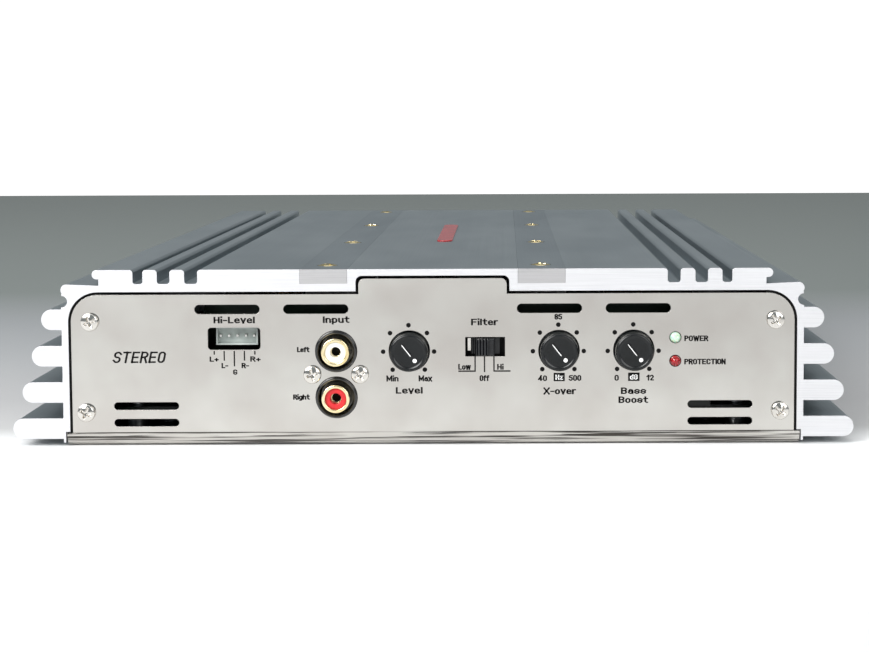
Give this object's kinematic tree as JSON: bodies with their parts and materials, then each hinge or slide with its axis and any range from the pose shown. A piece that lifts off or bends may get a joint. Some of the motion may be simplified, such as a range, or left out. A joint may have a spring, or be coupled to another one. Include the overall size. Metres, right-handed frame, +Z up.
{
  "type": "car amplifier",
  "caption": "Two-channel car audio amplifier: finned aluminium case, chrome control panel with knobs, phono jacks and filter switch, rear terminal strips and blade fuses.",
  "frame": {"origin": "underside of the floor plate, at the middle of the case", "axes": "+X to the right along the control panel seen from in front, +Y from the control panel (front) to the terminals (rear), +Z up"},
  "size_m": [0.25, 0.312, 0.0532],
  "materials": {
    "anodised_aluminium": "satin anodised extrusion, saw-cut bright at the ends",
    "bar_aluminium": "satin anodised flat bar",
    "mill_aluminium": "mill finish",
    "chrome_panel": "bright nickel-chrome plated sheet steel",
    "black_steel": "black powder-coated sheet steel",
    "gold_screws": "bright brass-plated steel",
    "nickel_screws": "bright nickel-plated steel",
    "zinc_steel": "zinc-plated steel",
    "red_badge": "gloss red",
    "board_laminate": "green solder resist on glass-epoxy",
    "black_plastic": "moulded black plastic",
    "gold_contacts": "gold-plated brass",
    "white_insulator": "moulded white plastic",
    "red_insulator": "moulded red plastic",
    "nylon_header": "natural nylon",
    "tinned_pins": "tin-plated",
    "shaft_nylon": "natural nylon",
    "knob_plastic": "satin charcoal moulding",
    "lever_plastic": "satin black moulding",
    "green_lens": "diffused green lens",
    "red_lens": "diffused red lens",
    "silicone_strip": "grey silicone-coated cloth",
    "ferrite": "painted ferrite",
    "copper_wire": "enamelled copper wire",
    "capacitor_sleeve": "shrunk vinyl sleeve",
    "fuse_plastic": "tinted clear moulding"
  },
  "bodies": {
    "case": {"heatsink": "anodised_aluminium", "front_panel": "chrome_panel", "rear_panel": "chrome_panel", "bottom_plate": "black_steel", "top_bar_left": "bar_aluminium", "top_bar_right": "bar_aluminium", "bar_screws": "gold_screws", "top_badge": "red_badge", "front_panel_screws": "nickel_screws", "rear_panel_screws": "nickel_screws", "floor_screws": "nickel_screws", "mounting_nuts": "zinc_steel", "main_board": "board_laminate", "standoffs": "zinc_steel", "board_screws": "zinc_steel", "control_board": "board_laminate", "board_link": "black_plastic", "jack_body": "black_plastic", "jack_shells": "gold_contacts", "insulator_left": "white_insulator", "insulator_right": "red_insulator", "jack_contacts": "gold_contacts", "jack_screws": "nickel_screws", "input_header": "nylon_header", "header_pins": "tinned_pins", "level_pot": "zinc_steel", "crossover_pot": "zinc_steel", "boost_pot": "zinc_steel", "switch_body": "black_plastic", "power_led": "green_lens", "protection_led": "red_lens", "heat_spreaders": "mill_aluminium", "insulating_strips": "silicone_strip", "output_transistors": "black_plastic", "supply_transistors": "black_plastic", "transistor_screws": "zinc_steel", "toroid_core": "ferrite", "toroid_windings": "copper_wire", "filter_capacitors": "capacitor_sleeve", "input_capacitors": "capacitor_sleeve", "output_chokes": "copper_wire", "chips": "black_plastic", "power_strip": "black_plastic", "speaker_strip": "black_plastic", "terminal_plates": "gold_contacts", "terminal_screws": "gold_screws", "fuse_holder": "black_plastic", "fuse_contacts": "tinned_pins"},
    "level_control": {"level_shaft": "shaft_nylon", "level_knob": "knob_plastic"},
    "crossover_control": {"crossover_shaft": "shaft_nylon", "crossover_knob": "knob_plastic"},
    "boost_control": {"boost_shaft": "shaft_nylon", "boost_knob": "knob_plastic"},
    "filter_slider": {"filter_lever": "lever_plastic"},
    "upper_fuse": {"fuse_upper": "fuse_plastic"},
    "lower_fuse": {"fuse_lower": "fuse_plastic"}
  },
  "joints": [
    {"name": "level_turn", "type": "hinge", "parent": "case", "child": "level_control", "pos_m": [-0.007, -0.15, 0.0283], "axis": [0, -1, 0], "range_deg": [0, 280]},
    {"name": "crossover_turn", "type": "hinge", "parent": "case", "child": "crossover_control", "pos_m": [0.0374, -0.15, 0.0283], "axis": [0, -1, 0], "range_deg": [0, 280]},
    {"name": "boost_turn", "type": "hinge", "parent": "case", "child": "boost_control", "pos_m": [0.0596, -0.15, 0.0283], "axis": [0, -1, 0], "range_deg": [0, 280]},
    {"name": "filter_slide", "type": "slide", "parent": "case", "child": "filter_slider", "axis": [1, 0, 0], "range_m": [-0.0028, 0.0028]},
    {"name": "upper_fuse_pull", "type": "slide", "parent": "case", "child": "upper_fuse", "axis": [0, 1, 0], "range_m": [0, 0.008]},
    {"name": "lower_fuse_pull", "type": "slide", "parent": "case", "child": "lower_fuse", "axis": [0, 1, 0], "range_m": [0, 0.008]}
  ]
}
